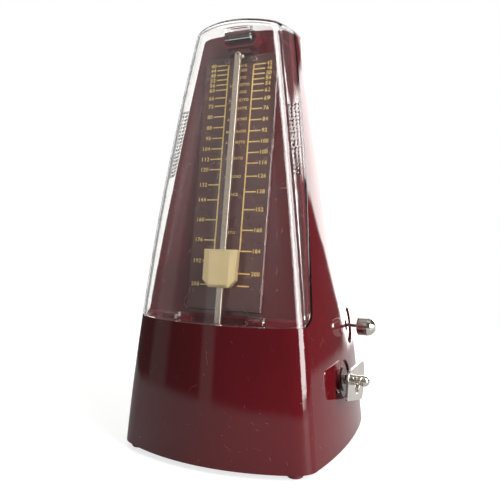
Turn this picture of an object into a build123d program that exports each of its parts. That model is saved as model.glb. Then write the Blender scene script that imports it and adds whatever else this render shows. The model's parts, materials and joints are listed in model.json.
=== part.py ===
"""Pyramid metronome: a leaning case with a clear front cover, a swinging pendulum and a wind-up movement.

The frame has +X to the right (the key side), the front towards -Y and +Z up. The origin is the centre
of the surface that the feet stand on. Sizes are in millimetres.
"""

import math
import os

from build123d import *

os.makedirs("parts", exist_ok=True)

# Driving dimensions of the case
base_half_width = 56.5
base_half_depth = 58.2
top_half_size = 25.6
width_bulge = 2.57
depth_bulge = 2.98
base_front_bow, top_front_bow = 8.85, 3.9
base_side_bow, top_side_bow = 3.7, 2.1
base_corner, top_corner = 8.7, 7.7
foot_height = 2.5
form_height = 220.6
top_height = 219.6
arch_rise = 2.2
top_edge_radius = 5.5
wall = 2.2
ledge_height = 68.4
seam_gap = 0.1
seam_start_y = -29.6
seam_start_height = 72.0
seam_slope = 0.1825
seam_corner_radius = 8.0
panel_gap = 0.6
base_plate_thickness = 2.2

# Driving dimensions of the dial, the pendulum and its weight
dial_slope = 0.166
pivot_height = 40.0
dial_origin_y = -38.29
scale_half_width = 20.8
scale_bottom, scale_top = 33.0, 165.8
scale_thickness = 1.7
rod_width, rod_depth = 3.2, 2.0
rod_offset = 4.0
rod_bottom, rod_top = -24.0, 166.2
weight_top = 63.4
weight_height = 18.9
weight_half_width = 9.15
running_gap = 0.05

# Driving dimensions of the movement
plate_thickness = 1.5
left_plate_x, right_plate_x = -25.0, 14.0
winding_y, winding_z = 4.5, 35.0
great_teeth, great_module = 60, 0.8
pinion_teeth = 10
wheel_teeth, wheel_module = 50, 0.5
escape_offset = -9.5
escape_radius = 7.5
escape_teeth = 15
key_plate_x = 58.4
key_plate_thickness = 1.25
knob_y, knob_z = 24.3, 60.0
knob_back_x = 54.4


# Case form: bowed sections that shrink towards an arched top


def along_height(low, high, level):
    """A size that changes evenly from the foot of the case to its top."""
    return low + (high - low) * (level - foot_height) / (form_height - foot_height)


def bulge(amount, level):
    """The outward curve of the leaning faces, greatest at half height."""
    share = (level - foot_height) / (form_height - foot_height)
    return amount * 4 * share * (1 - share)


def half_width_at(level):
    return along_height(base_half_width, top_half_size, level) + bulge(width_bulge, level)


def half_depth_at(level):
    return along_height(base_half_depth, top_half_size, level) + bulge(depth_bulge, level)


def bowed_section(level, inset):
    """One horizontal section: four bowed sides joined by soft corners."""
    half_width = half_width_at(level) - inset
    half_depth = half_depth_at(level) - inset
    front_bow = along_height(base_front_bow, top_front_bow, level)
    side_bow = along_height(base_side_bow, top_side_bow, level)
    corner = along_height(base_corner, top_corner, level) - inset
    side_x = half_width - side_bow
    front_y = half_depth - front_bow
    flat_x = side_x - corner
    flat_y = front_y - corner
    front_turn = 2 * math.atan(front_bow / flat_x)
    side_turn = 2 * math.atan(side_bow / flat_y)
    reach = corner * (math.cos(side_turn) - math.sin(side_turn)) / math.cos(front_turn + side_turn)
    peak_x = flat_x + reach * math.cos(front_turn)
    peak_y = front_y - reach * math.sin(front_turn)
    with BuildSketch(Plane.XY.offset(level)) as section:
        with BuildLine():
            for right in (1, -1):
                ThreePointArc((right * side_x, -flat_y), (right * half_width, 0), (right * side_x, flat_y))
                ThreePointArc((-flat_x, right * front_y), (0, right * half_depth), (flat_x, right * front_y))
                for back in (1, -1):
                    Bezier(
                        (right * flat_x, back * front_y),
                        (right * peak_x, back * peak_y),
                        (right * side_x, back * flat_y),
                    )
        make_face()
    return section.sketch


def body_form(inset, bottom):
    """The outer form of the case, set in by a wall or a gap, from a bottom level to the arched top."""
    arch_radius = (top_half_size**2 + arch_rise**2) / (2 * arch_rise)
    span = form_height + 4 - bottom
    with BuildPart() as form:
        loft([bowed_section(bottom + span * step / 4, inset) for step in range(5)])
        with BuildSketch(Plane.XZ):
            with Locations((0, top_height)):
                Rectangle(150, 60)
            with Locations((0, top_height - arch_radius)):
                Circle(arch_radius - inset, mode=Mode.SUBTRACT)
        extrude(amount=90, both=True, mode=Mode.SUBTRACT)
        top_face = form.faces().sort_by(Axis.Z)[-1]
        fillet(top_face.edges(), radius=top_edge_radius - inset)
    return form.part


def seam_plane(offset):
    """The leaning parting plane between the cover's flanks and the case, facing forwards."""
    facing = Vector(0, -1, seam_slope).normalized()
    return Plane(
        origin=Vector(0, seam_start_y, seam_start_height) + facing * offset, x_dir=(1, 0, 0), z_dir=facing
    )


dial_facing = Vector(0, -1, dial_slope).normalized()
dial_up = Vector(0, dial_slope, 1).normalized()


def dial_plane(offset):
    """A plane parallel to the scale, measured forwards from its face; local (0, 0) is the pendulum's axis."""
    origin = Vector(0, dial_origin_y, pivot_height) + dial_facing * offset
    return Plane(origin=origin, x_dir=(1, 0, 0), z_dir=dial_facing)


def dial_point(x, up, offset):
    """A point given in the dial's own directions."""
    return Vector(x, dial_origin_y, pivot_height) + dial_up * up + dial_facing * offset


def cover_zone(gap):
    """The space that belongs to the clear cover: in front of the seam and above the ledge."""
    bottom = ledge_height + gap
    corner_y = seam_start_y + seam_slope * (bottom - seam_start_height) - gap
    with BuildPart() as zone:
        with BuildSketch(Plane.YZ) as profile:
            with BuildLine():
                Polyline(
                    (corner_y, bottom),
                    (corner_y + seam_slope * 190, bottom + 190),
                    (-120, bottom + 190),
                    (-120, bottom),
                    close=True,
                )
            make_face()
            corner = profile.vertices().sort_by_distance(Vector(0, corner_y, bottom))[0]
            fillet(corner, radius=seam_corner_radius)
        extrude(amount=80, both=True)
    return zone.part


def behind(form, plane):
    """The share of a form that lies on the back or lower side of a plane."""
    return split(form, bisect_by=plane, keep=Keep.BOTTOM, mode=Mode.PRIVATE)


outer_form = body_form(0, foot_height)
inner_form = body_form(wall, -6)
panel_form = body_form(wall + panel_gap, -6)
panel_core_form = body_form(2 * wall + panel_gap, -6)
plate_form = body_form(wall + running_gap, -6)

# Case shell: hollow body, raised front panel, ledge, bosses for the latch, the catch and the shafts

panel_front = -scale_thickness
slot_half_width = 17.0
slot_back, slot_front = -1.0, 11.0
slot_corner = 2.0
lug_x, lug_width, lug_depth = 23.0, 8.0, 2.0
lug_y = -42.2
lug_drop, lug_height = 2.2, 6.0
lug_side_gap, lug_swing_room = 0.3, 2.4
lug_pad_depth, lug_pad_height = 6.0, 2.0
latch_up = 173.0
latch_half_length, latch_half_height = 10.2, 4.2
latch_height = 4.0
latch_wall = 1.2
latch_gap = 0.5
latch_block_width, latch_block_height, latch_block_depth = 14.0, 8.0, 2.6
latch_block_raise = 3.0
nib_reach, nib_width, nib_thickness = 1.4, 9.0, 1.0
catch_width, catch_height, catch_angle, catch_front = 12.5, 4.4, 118, 2.6
boss_root = 0.5
shaft_recess_radius = 10.0
shaft_recess_depth = 1.0
pad_depth, pad_thickness = 2.6, 2.4
arbor_bush_radius, knob_bush_radius = 4.4, 2.0
post_radius, post_height, post_web = 3.5, 16.0, 1.8
post_reach = 13.0
screw_bore = 1.2


def wall_plane(y, z, depth):
    """A plane lying on the right wall at the height of a shaft, sunk into it by a depth."""
    front_bow = along_height(base_front_bow, top_front_bow, z)
    side_bow = along_height(base_side_bow, top_side_bow, z)
    flat_y = half_depth_at(z) - front_bow - along_height(base_corner, top_corner, z)
    x = half_width_at(z) - side_bow * (y / flat_y) ** 2
    lean = half_width_at(z - 5) - half_width_at(z + 5)
    facing = Vector(1, 2 * side_bow * y / flat_y**2, lean / 10).normalized()
    return Plane(origin=Vector(x, y, z) - facing * depth, x_dir=(0, 1, 0), z_dir=facing)


key_wall = wall_plane(winding_y, winding_z, shaft_recess_depth)
knob_wall = wall_plane(knob_y, knob_z, shaft_recess_depth)
screw_places = [(x, y) for x in (-38, 38) for y in (-36, 36)]

with BuildPart() as case_block:
    add(outer_form)
    add(cover_zone(0), mode=Mode.SUBTRACT)
    add(behind(panel_form, dial_plane(panel_front)) & outer_form)

with BuildPart() as case_cavity:
    add(behind(inner_form, seam_plane(-wall)))
    add(behind(panel_core_form, dial_plane(panel_front - wall)))
    add(behind(inner_form, Plane.XY.offset(ledge_height - wall)))

with BuildPart() as case_shell:
    add(case_block.part)
    add(case_cavity.part, mode=Mode.SUBTRACT)
    # Latch boss: a hollow stadium standing out of the panel
    with BuildSketch(dial_plane(panel_front - boss_root)):
        with Locations((0, latch_up)):
            SlotOverall(2 * latch_half_length, 2 * latch_half_height)
            SlotOverall(
                2 * (latch_half_length - latch_wall), 2 * (latch_half_height - latch_wall), mode=Mode.SUBTRACT
            )
    extrude(amount=latch_height - panel_front + boss_root)
    # Catch under the boss, where the rod is parked
    with BuildSketch(dial_plane(panel_front - boss_root)):
        with Locations((0, latch_up - latch_half_height - 0.6)):
            Trapezoid(catch_width, catch_height, catch_angle, rotation=180)
    extrude(amount=catch_front - panel_front + boss_root)
    # Slot in the ledge for the pendulum and the weight, and two for the cover's lugs
    with BuildSketch(Plane.XY.offset(ledge_height + 1)):
        slot_mid_y = dial_point(0, ledge_height - pivot_height, (slot_back + slot_front) / 2).Y
        with Locations((0, slot_mid_y)):
            RectangleRounded(2 * slot_half_width, slot_front - slot_back, slot_corner)
        with Locations((-lug_x, lug_y), (lug_x, lug_y)):
            Rectangle(lug_width + 2 * lug_side_gap, lug_depth + lug_swing_room)
    extrude(amount=-wall - 2, mode=Mode.SUBTRACT)
    # Pads that carry the two shaft bushes, their dished recesses and bores
    for shaft_wall, bush_radius in ((key_wall, arbor_bush_radius), (knob_wall, knob_bush_radius)):
        with BuildSketch(shaft_wall.offset(-pad_depth)):
            Circle(shaft_recess_radius + 2)
        extrude(amount=pad_thickness)
        with BuildSketch(shaft_wall):
            Circle(shaft_recess_radius)
        extrude(amount=4, mode=Mode.SUBTRACT)
        with BuildSketch(shaft_wall.offset(-5)):
            Circle(bush_radius)
        extrude(amount=8, mode=Mode.SUBTRACT)
    # Posts for the base screws, joined to the side walls by webs
    with BuildSketch(Plane.XY.offset(foot_height + base_plate_thickness + 0.2)):
        with Locations(*screw_places):
            Circle(post_radius)
    extrude(amount=post_height)
    with BuildSketch(Plane.XY.offset(foot_height + base_plate_thickness + 4)):
        for x, y in screw_places:
            with Locations((math.copysign(abs(x) + post_reach / 2, x), y)):
                Rectangle(post_reach, post_web)
    extrude(amount=12)
    with BuildSketch(Plane.XY.offset(foot_height)):
        with Locations(*screw_places):
            Circle(screw_bore)
    extrude(amount=post_height - 2, mode=Mode.SUBTRACT)
    add(cover_zone(0) & (outer_form - inner_form), mode=Mode.SUBTRACT)
    add(behind(inner_form, Plane.XY.offset(foot_height + base_plate_thickness)), mode=Mode.SUBTRACT)
case_shell.part.label = "case_shell"
export_step(case_shell.part, "parts/case_shell.step")

# Front cover: clear shell with two bottom lugs and a latch block

with BuildPart() as front_cover:
    add(outer_form & cover_zone(seam_gap))
    add(inner_form, mode=Mode.SUBTRACT)
    # Lugs that stand in the slots of the ledge, on small pads inside the front wall
    with BuildSketch(Plane.XY.offset(ledge_height - lug_drop)):
        with Locations((-lug_x, lug_y), (lug_x, lug_y)):
            Rectangle(lug_width, lug_depth)
    extrude(amount=lug_height)
    with BuildSketch(Plane.XY.offset(ledge_height + seam_gap + 0.8)):
        with Locations((-lug_x, lug_y - lug_pad_depth / 2), (lug_x, lug_y - lug_pad_depth / 2)):
            Rectangle(lug_width, lug_pad_depth)
    extrude(amount=lug_pad_height)
    # Latch block hanging from the roof, with a nib that snaps over the boss
    with BuildSketch(dial_plane(latch_height + latch_gap)):
        with Locations((0, latch_up + latch_block_raise)):
            Rectangle(latch_block_width, latch_block_height)
    extrude(amount=latch_block_depth)
    with BuildSketch(dial_plane(latch_height - nib_reach)):
        with Locations((0, latch_up + latch_half_height + 0.9)):
            Rectangle(nib_width, nib_thickness)
    extrude(amount=nib_reach + latch_gap + 1)
    add(outer_form, mode=Mode.INTERSECT)
front_cover.part.label = "front_cover"
export_step(front_cover.part, "parts/front_cover.step")

# Base plate, screws and feet

screw_head_radius = 2.2

with BuildPart() as base_plate:
    add(behind(plate_form, Plane.XY.offset(foot_height + base_plate_thickness)))
    add(behind(plate_form, Plane.XY.offset(foot_height)), mode=Mode.SUBTRACT)
    with BuildSketch(Plane.XY.offset(foot_height)):
        with Locations(*screw_places):
            Circle(1.0)
    extrude(amount=base_plate_thickness, mode=Mode.SUBTRACT)
    with BuildSketch(Plane.XY.offset(foot_height)):
        with Locations(*screw_places):
            Circle(screw_head_radius + 0.2)
    extrude(amount=1.2, mode=Mode.SUBTRACT)
base_plate.part.label = "base_plate"
export_step(base_plate.part, "parts/base_plate.step")

with BuildPart() as base_screws:
    with BuildSketch(Plane.XY.offset(foot_height + 0.1)):
        with Locations(*screw_places):
            Circle(screw_head_radius)
    extrude(amount=1.1)
    with BuildSketch(Plane.XY.offset(foot_height + 1.2)):
        with Locations(*screw_places):
            Circle(1.0)
    extrude(amount=11)
base_screws.part.label = "base_screws"
export_step(base_screws.part, "parts/base_screws.step")

foot_radius = 4.0
foot_places = [(sx * 43.5, sy * 43.5) for sx in (-1, 1) for sy in (-1, 1)]

with BuildPart() as feet:
    with BuildSketch(Plane.XY.offset(foot_height)):
        with Locations(*foot_places):
            Circle(foot_radius)
    extrude(amount=-foot_height)
    fillet(feet.faces().sort_by(Axis.Z)[:4].edges(), radius=0.9)
feet.part.label = "feet"
export_step(feet.part, "parts/feet.step")

# Scale plate and the two studs that guide the tip of the rod

with BuildPart() as scale_plate:
    with BuildSketch(dial_plane(-scale_thickness)):
        with Locations((0, (scale_bottom + scale_top) / 2)):
            RectangleRounded(2 * scale_half_width, scale_top - scale_bottom, 0.9)
    extrude(amount=scale_thickness)
    front_face = scale_plate.faces().sort_by(Axis(dial_point(0, 0, 0), dial_facing))[-1]
    chamfer(front_face.edges(), length=0.5)
scale_plate.part.label = "scale_plate"
export_step(scale_plate.part, "parts/scale_plate.step")

stud_places = [(-7.6, 163.0), (7.6, 163.0)]
stud_height = 1.4

with BuildPart() as rod_guide_studs:
    with BuildSketch(dial_plane(0)):
        with Locations(*stud_places):
            Circle(1.4)
    extrude(amount=stud_height)
    with BuildSketch(dial_plane(stud_height)):
        with Locations(*stud_places):
            Circle(0.9)
    extrude(amount=-0.8, mode=Mode.SUBTRACT)
rod_guide_studs.part.label = "rod_guide_studs"
export_step(rod_guide_studs.part, "parts/rod_guide_studs.step")

# Pendulum: rod, stop pin, lower bob, hub, staff and pallets

staff_radius = 1.0
rod_back, rod_front = rod_offset - rod_depth / 2, rod_offset + rod_depth / 2
staff_front, staff_back = 6.2, -22.0
bob_up, bob_radius, bob_thickness = -21.5, 9.0, 6.8
pallet_gap, pallet_reach, pallet_thickness = 6.9, 4.9, 0.7
stop_pin_up = 163.4
tip_hole_up, tip_hole_radius = 165.0, 0.5


def dial_rectangle(width, bottom, top):
    """A rectangle centred on the rod, between two heights along it."""
    with Locations((0, (bottom + top) / 2)):
        Rectangle(width, top - bottom)


with BuildPart() as pendulum_rod:
    with BuildSketch(dial_plane(rod_back)):
        dial_rectangle(rod_width, rod_bottom, rod_top - rod_width / 2)
        with Locations((0, rod_top - rod_width / 2)):
            Circle(rod_width / 2)
    extrude(amount=rod_depth)
    long_edges = pendulum_rod.edges().filter_by(Axis(dial_point(0, 0, 0), dial_up))
    fillet(long_edges, radius=0.35)
    with BuildSketch(dial_plane(rod_back)):
        Circle(staff_radius)
        with Locations((0, tip_hole_up)):
            Circle(tip_hole_radius)
    extrude(amount=rod_depth, mode=Mode.SUBTRACT)
    with BuildSketch(Plane(origin=dial_point(0, stop_pin_up, rod_offset), x_dir=dial_up, z_dir=(1, 0, 0))):
        Circle(0.6)
    extrude(amount=rod_width, both=True, mode=Mode.SUBTRACT)
pendulum_rod.part.label = "pendulum_rod"
export_step(pendulum_rod.part, "parts/pendulum_rod.step")

stop_pin_plane = Plane(origin=dial_point(-1.9, stop_pin_up, rod_offset), x_dir=dial_up, z_dir=(1, 0, 0))

with BuildPart() as rod_stop_pin:
    with BuildSketch(stop_pin_plane):
        Circle(0.6)
    extrude(amount=4.2)
    with BuildSketch(stop_pin_plane.offset(3.7)):
        Circle(1.1)
    extrude(amount=1.5)
    fillet(rod_stop_pin.faces().sort_by(Axis.X)[-1].edges(), radius=0.7)
rod_stop_pin.part.label = "rod_stop_pin"
export_step(rod_stop_pin.part, "parts/rod_stop_pin.step")

with BuildPart() as pendulum_bob:
    with BuildSketch(dial_plane(rod_offset - bob_thickness / 2)):
        with Locations((0, bob_up)):
            Circle(bob_radius)
    extrude(amount=bob_thickness)
    fillet(pendulum_bob.edges().filter_by(GeomType.CIRCLE), radius=0.8)
    add(pendulum_rod.part, mode=Mode.SUBTRACT)
pendulum_bob.part.label = "pendulum_bob"
export_step(pendulum_bob.part, "parts/pendulum_bob.step")

with BuildPart() as pendulum_hub:
    with BuildSketch(dial_plane(rod_back)):
        Circle(2.8)
        Circle(staff_radius, mode=Mode.SUBTRACT)
    extrude(amount=-1.1)
    with BuildSketch(dial_plane(rod_front)):
        Circle(2.2)
        Circle(staff_radius, mode=Mode.SUBTRACT)
    extrude(amount=0.8)
pendulum_hub.part.label = "pendulum_hub"
export_step(pendulum_hub.part, "parts/pendulum_hub.step")

with BuildPart() as pendulum_staff:
    with BuildSketch(dial_plane(staff_back)):
        Circle(staff_radius)
    extrude(amount=staff_front - staff_back)
pendulum_staff.part.label = "pendulum_staff"
export_step(pendulum_staff.part, "parts/pendulum_staff.step")

with BuildPart() as pallets:
    for end in (-1, 1):
        with BuildSketch(dial_plane(escape_offset + end * pallet_gap - pallet_thickness)):
            Circle(staff_radius + 0.9)
            with Locations(Location((0, 0), 180 - 45 * end)):
                with Locations((pallet_reach / 2, 0)):
                    Rectangle(pallet_reach, 1.6)
            Circle(staff_radius, mode=Mode.SUBTRACT)
        extrude(amount=2 * pallet_thickness)
pallets.part.label = "pallets"
export_step(pallets.part, "parts/pallets.step")

# Sliding weight: a shield with sloped borders, closed behind by a clip that holds a leaf spring

shield_back, shield_edge, shield_front = 3.8, 6.6, 7.5
clip_back = 1.8
weight_bottom = weight_top - weight_height
corner_cut = 3.75


def shield(half_width, bottom, top, cut):
    """A shield outline: square at the top, with both lower corners cut."""
    Polygon(
        (-half_width, top),
        (0.2 - half_width, bottom + cut),
        (cut - half_width, bottom),
        (half_width - cut, bottom),
        (half_width - 0.2, bottom + cut),
        (half_width, top),
        align=None,
    )


with BuildPart() as tempo_weight:
    with BuildSketch(dial_plane(shield_back)):
        shield(weight_half_width, weight_bottom, weight_top, corner_cut)
    extrude(amount=shield_edge - shield_back)
    with BuildSketch(dial_plane(shield_edge)):
        shield(weight_half_width, weight_bottom, weight_top, corner_cut)
    with BuildSketch(dial_plane(shield_front)):
        shield(weight_half_width - 3.4, weight_bottom + 1.2, weight_top - 1.2, 0.9)
    loft()
    with BuildSketch(dial_plane(shield_back)):
        dial_rectangle(rod_width + 2 * running_gap, weight_bottom - 1, weight_top + 1)
    extrude(amount=rod_front + running_gap - shield_back, mode=Mode.SUBTRACT)
    with BuildSketch(dial_plane(rod_front)):
        dial_rectangle(2.6, weight_bottom + 4, weight_top - 4)
    extrude(amount=1.0, mode=Mode.SUBTRACT)
tempo_weight.part.label = "tempo_weight"
export_step(tempo_weight.part, "parts/tempo_weight.step")

with BuildPart() as weight_clip:
    with BuildSketch(dial_plane(shield_back)):
        with Locations((0, (weight_bottom + weight_top) / 2)):
            RectangleRounded(11, weight_height - 3, 1.5)
    extrude(amount=clip_back - shield_back)
    with BuildSketch(dial_plane(shield_back)):
        dial_rectangle(rod_width + 2 * running_gap, weight_bottom, weight_top)
    extrude(amount=rod_back - running_gap - shield_back, mode=Mode.SUBTRACT)
weight_clip.part.label = "weight_clip"
export_step(weight_clip.part, "parts/weight_clip.step")

leaf_middle = (weight_bottom + weight_top) / 2
leaf_plane = Plane(origin=dial_point(-1.1, leaf_middle, rod_front), x_dir=dial_up, z_dir=(1, 0, 0))

with BuildPart() as weight_spring:
    with BuildSketch(leaf_plane):
        with BuildLine() as leaf_line:
            ThreePointArc((-5.0, 0.8), (0, 0.32), (5.0, 0.8))
        trace(leaf_line.line, line_width=0.25)
    extrude(amount=2.2)
weight_spring.part.label = "weight_spring"
export_step(weight_spring.part, "parts/weight_spring.step")

# Movement: places of the shafts, seen along +X as (y, z)


def centre_distance(wheel, pinion, module):
    return (wheel + pinion) * module / 2


winding_centre = (winding_y, winding_z)
escape_point = dial_point(0, 0, escape_offset)
escape_centre = (escape_point.Y, escape_point.Z)
first_gap = centre_distance(great_teeth, pinion_teeth, great_module)
second_gap = centre_distance(wheel_teeth, pinion_teeth, wheel_module)
link_y = escape_centre[0] - winding_y
link_z = escape_centre[1] - winding_z
link = math.hypot(link_y, link_z)
along = (first_gap**2 - second_gap**2 + link**2) / (2 * link)
aside = math.sqrt(first_gap**2 - along**2)
wheel_centre = (
    winding_y + (along * link_y - aside * link_z) / link,
    winding_z + (along * link_z + aside * link_y) / link,
)


def shaft_plane(x, centre):
    """A plane across the shafts at a place along X, with its origin on one shaft."""
    return Plane(origin=(x, centre[0], centre[1]), x_dir=(0, 1, 0), z_dir=(1, 0, 0))


def direction(start, end):
    """The angle of the line from one shaft to another."""
    return math.atan2(end[1] - start[1], end[0] - start[0])


def gear_points(teeth, module, first_angle):
    """The outline of an involute gear with a little backlash; one tooth points at first_angle."""
    pressure = math.radians(20)
    pitch_radius = module * teeth / 2
    base_radius = pitch_radius * math.cos(pressure)
    tip_radius = pitch_radius + 0.8 * module
    root_radius = pitch_radius - 1.15 * module
    start_radius = max(base_radius, root_radius)
    backlash = 0.24
    half_pitch_tooth = (math.pi / 2 - backlash) / teeth

    def half_tooth(radius):
        angle = math.acos(min(1.0, base_radius / radius))
        return half_pitch_tooth + math.tan(pressure) - pressure - (math.tan(angle) - angle)

    flank = [(root_radius, half_tooth(start_radius))]
    for step in range(4):
        radius = start_radius + (tip_radius - start_radius) * step / 3
        flank.append((radius, half_tooth(radius)))
    points = []
    for tooth in range(teeth):
        middle = first_angle + 2 * math.pi * tooth / teeth
        for radius, half in flank:
            points.append((radius * math.cos(middle - half), radius * math.sin(middle - half)))
        for radius, half in reversed(flank):
            points.append((radius * math.cos(middle + half), radius * math.sin(middle + half)))
    return points


first_line = direction(winding_centre, wheel_centre)
second_line = direction(wheel_centre, escape_centre)
mesh_turn = math.pi * (1 + 1 / pinion_teeth)
arbor_radius, arbor_bore = 2.5, 2.55
pivot_radius, pivot_bore = 1.0, 1.05
thin_arbor_radius = 1.2
right_plate_end = right_plate_x + plate_thickness
left_plate_end = left_plate_x + plate_thickness
plate_bottom = foot_height + base_plate_thickness
plate_top, plate_front, plate_back = 61.0, -34.0, 31.0
pillar_places = [(-29.5, 10.0), (26.5, 10.0), (26.5, 56.5), (-28.5, 56.5)]
pillar_radius = 2.2
hammer_centre = (-12.0, 50.0)
bell_centre = (-27.2, 34.0)
bell_radius = 12.0


def frame_plate(x, holes):
    """A movement plate across the shafts, with a bore for each shaft and each pillar screw."""
    with BuildPart() as plate:
        with BuildSketch(shaft_plane(x, (0, 0))):
            with Locations(((plate_front + plate_back) / 2, (plate_bottom + plate_top) / 2)):
                RectangleRounded(plate_back - plate_front, plate_top - plate_bottom, 3)
            for place, radius in holes:
                with Locations(place):
                    Circle(radius, mode=Mode.SUBTRACT)
            with Locations(*pillar_places):
                Circle(1.1, mode=Mode.SUBTRACT)
        extrude(amount=plate_thickness)
    return plate.part


with BuildPart() as left_frame_plate:
    add(frame_plate(left_plate_x, [(winding_centre, pivot_bore), (wheel_centre, pivot_bore),
                                   (escape_centre, pivot_bore)]))
left_frame_plate.part.label = "left_frame_plate"
export_step(left_frame_plate.part, "parts/left_frame_plate.step")

with BuildPart() as right_frame_plate:
    add(frame_plate(right_plate_x, [(winding_centre, arbor_bore), (wheel_centre, pivot_bore),
                                    (hammer_centre, 2.2), (bell_centre, 1.5)]))
right_frame_plate.part.label = "right_frame_plate"
export_step(right_frame_plate.part, "parts/right_frame_plate.step")

with BuildPart() as frame_pillars:
    with BuildSketch(shaft_plane(left_plate_end, (0, 0))):
        with Locations(*pillar_places):
            Circle(pillar_radius)
    extrude(amount=right_plate_x - left_plate_end)
    with BuildSketch(shaft_plane(left_plate_end, (0, 0))):
        with Locations(*pillar_places):
            Circle(1.1)
    extrude(amount=right_plate_x - left_plate_end, mode=Mode.SUBTRACT)
frame_pillars.part.label = "frame_pillars"
export_step(frame_pillars.part, "parts/frame_pillars.step")

with BuildPart() as pillar_screws:
    for start, way in ((left_plate_x, 1), (right_plate_end, -1)):
        with BuildSketch(shaft_plane(start, (0, 0))):
            with Locations(*pillar_places):
                Circle(2.0)
        extrude(amount=-way * 1.2)
        with BuildSketch(shaft_plane(start, (0, 0))):
            with Locations(*pillar_places):
                Circle(1.1)
        extrude(amount=way * 8)
pillar_screws.part.label = "pillar_screws"
export_step(pillar_screws.part, "parts/pillar_screws.step")

# Bracket that carries the pendulum staff and the free end of the escape shaft

cheek_half_width = 3.0
front_cheek, rear_cheek = 0.4, -20.6
cheek_thickness = 1.2
bridge_bottom, bridge_top = 9.0, 10.4
wing_back = -10.0
escape_tab_x = -11.6

with BuildPart() as staff_bracket:
    for cheek in (front_cheek, rear_cheek):
        with BuildSketch(dial_plane(cheek)):
            dial_rectangle(2 * cheek_half_width, -3.0, bridge_top)
            Circle(staff_radius + running_gap, mode=Mode.SUBTRACT)
        extrude(amount=cheek_thickness)
    with BuildSketch(dial_plane(rear_cheek)):
        dial_rectangle(2 * cheek_half_width, bridge_bottom, bridge_top)
    extrude(amount=front_cheek - rear_cheek)
    with BuildSketch(dial_plane(wing_back)):
        with Locations(((left_plate_end + right_plate_x) / 2, (bridge_bottom + bridge_top) / 2)):
            Rectangle(right_plate_x - left_plate_end, bridge_top - bridge_bottom)
    extrude(amount=front_cheek + cheek_thickness - wing_back)
    tab_plane = Plane(origin=dial_point(escape_tab_x, 0, escape_offset), x_dir=-dial_facing, z_dir=(1, 0, 0))
    with BuildSketch(tab_plane):
        with Locations((0, (bridge_bottom - 3.0) / 2)):
            Rectangle(5.0, bridge_bottom + 3.0)
        Circle(pivot_bore, mode=Mode.SUBTRACT)
    extrude(amount=1.2)
staff_bracket.part.label = "staff_bracket"
export_step(staff_bracket.part, "parts/staff_bracket.step")

# Great wheel with its click, and the mainspring

great_wheel_x, great_wheel_width = -20.0, 2.0
ratchet_x, ratchet_width = -17.6, 1.4
ratchet_radius, ratchet_depth, ratchet_teeth = 8.0, 1.4, 16
click_angle, nose_angle = math.radians(62), math.radians(18)
click_radius, nose_radius = 14.0, 8.9
click_pivot = (click_radius * math.cos(click_angle), click_radius * math.sin(click_angle))
click_nose = (nose_radius * math.cos(nose_angle), nose_radius * math.sin(nose_angle))

with BuildPart() as great_wheel:
    with BuildSketch(shaft_plane(great_wheel_x, winding_centre)):
        Polygon(*gear_points(great_teeth, great_module, first_line), align=None)
        Circle(arbor_bore, mode=Mode.SUBTRACT)
        with PolarLocations(17.0, 5, start_angle=26):
            Circle(3.6, mode=Mode.SUBTRACT)
    extrude(amount=great_wheel_width)
    with BuildSketch(shaft_plane(great_wheel_x + great_wheel_width, winding_centre)):
        with Locations(click_pivot):
            Circle(1.2)
    extrude(amount=ratchet_x + ratchet_width + 0.4 - great_wheel_x - great_wheel_width)
great_wheel.part.label = "great_wheel"
export_step(great_wheel.part, "parts/great_wheel.step")

with BuildPart() as click:
    with BuildSketch(shaft_plane(ratchet_x, winding_centre)):
        with Locations(click_pivot):
            Circle(2.3)
        with Locations(click_nose):
            Circle(0.6)
        make_hull()
        with Locations(click_pivot):
            Circle(1.25, mode=Mode.SUBTRACT)
    extrude(amount=ratchet_width)
click.part.label = "click"
export_step(click.part, "parts/click.step")

with BuildPart() as click_spring:
    with BuildSketch(shaft_plane(great_wheel_x + great_wheel_width, winding_centre)):
        with BuildLine() as spring_line:
            ThreePointArc((19.6, 0.5), (18.6, 6.2), (13.0, 9.0))
        trace(spring_line.line, line_width=0.4)
        with Locations((19.6, 0.5)):
            Circle(1.0)
    extrude(amount=ratchet_x + ratchet_width - great_wheel_x - great_wheel_width)
click_spring.part.label = "click_spring"
export_step(click_spring.part, "parts/click_spring.step")

spring_start_x, spring_width = -9.0, 20.0
spring_inner, spring_pitch, spring_turns = 4.2, 1.9, 6
spring_strip = 0.5

with BuildPart() as mainspring:
    with BuildSketch(shaft_plane(spring_start_x, winding_centre)):
        with BuildLine() as spiral:
            for half_turn in range(2 * spring_turns):
                radius = spring_inner + spring_pitch * half_turn / 2 + spring_pitch / 4
                middle = spring_pitch / 4 * (1 if half_turn % 2 else -1)
                side = 1 if half_turn % 2 else -1
                ThreePointArc((middle - radius, 0), (middle, side * radius), (middle + radius, 0))
        trace(spiral.line, line_width=spring_strip)
    extrude(amount=spring_width)
mainspring.part.label = "mainspring"
export_step(mainspring.part, "parts/mainspring.step")

# Winding arbor, ratchet wheel and key

hub_start_x = 52.6
arbor_end_x = 62.0
key_hole_radius, key_neck_radius, key_ball_radius = 4.7, 2.6, 2.9
key_ball_x = 63.1
key_drop = key_hole_radius - key_neck_radius
key_wing_drop = 0.9
key_tilt = -6.8
key_front, key_rear = -17.6, 13.7
key_front_half, key_rear_half = 7.3, 11.0
key_round, key_heel_round = 5.5, 1.6

with BuildPart() as winding_arbor:
    with BuildSketch(shaft_plane(left_plate_x, winding_centre)):
        Circle(pivot_radius)
    extrude(amount=2)
    with BuildSketch(shaft_plane(left_plate_end + 0.3, winding_centre)):
        Circle(arbor_radius)
    extrude(amount=hub_start_x - left_plate_end - 0.3)
    with BuildSketch(shaft_plane(hub_start_x, winding_centre)):
        Circle(1.5)
    extrude(amount=arbor_end_x - hub_start_x)
winding_arbor.part.label = "winding_arbor"
export_step(winding_arbor.part, "parts/winding_arbor.step")

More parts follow.
